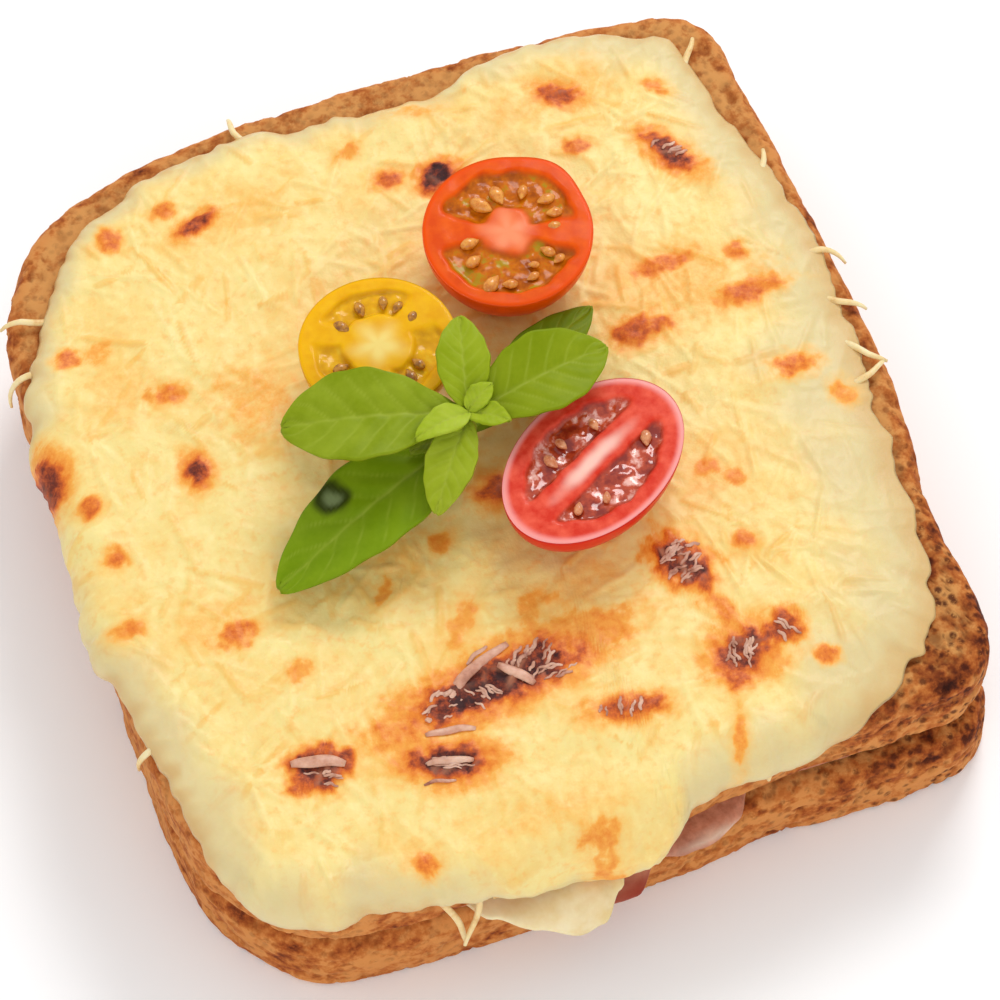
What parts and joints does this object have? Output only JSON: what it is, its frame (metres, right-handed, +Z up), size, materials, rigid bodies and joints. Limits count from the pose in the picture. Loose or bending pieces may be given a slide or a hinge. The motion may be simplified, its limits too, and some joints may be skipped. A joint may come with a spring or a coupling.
{
  "type": "croque monsieur",
  "caption": "Toasted ham and cheese sandwich on square bread, with a browned cheese sauce topping, halved cherry tomatoes and a sprig of basil.",
  "frame": {"origin": "middle of the flat underside of the lower slice of bread", "axes": "+Z up through the layers, +X towards the bread's right side and -Y towards the front, where ham and sauce hang out"},
  "size_m": [0.1271, 0.1384, 0.0487],
  "materials": {
    "lower_toast": "toasted bread crust, matt and porous",
    "upper_toast": "toasted bread crust, matt and porous",
    "ham": "cooked ham, moist satin",
    "white_sauce": "white sauce, soft satin",
    "browned_cheese": "melted cheese with browned patches, satin",
    "orange_tomato": "cut cherry tomato, wet gloss",
    "yellow_tomato": "cut cherry tomato, wet gloss",
    "red_tomato": "cut cherry tomato, wet gloss",
    "basil": "fresh basil leaf, satin"
  },
  "bodies": {
    "root": {"bottom_slice": "lower_toast", "ham": "ham", "sauce_layer": "white_sauce", "top_slice": "upper_toast", "gratin_topping": "browned_cheese", "tomato_orange": "orange_tomato", "tomato_yellow": "yellow_tomato", "tomato_red": "red_tomato", "basil_sprig": "basil"}
  },
  "joints": []
}
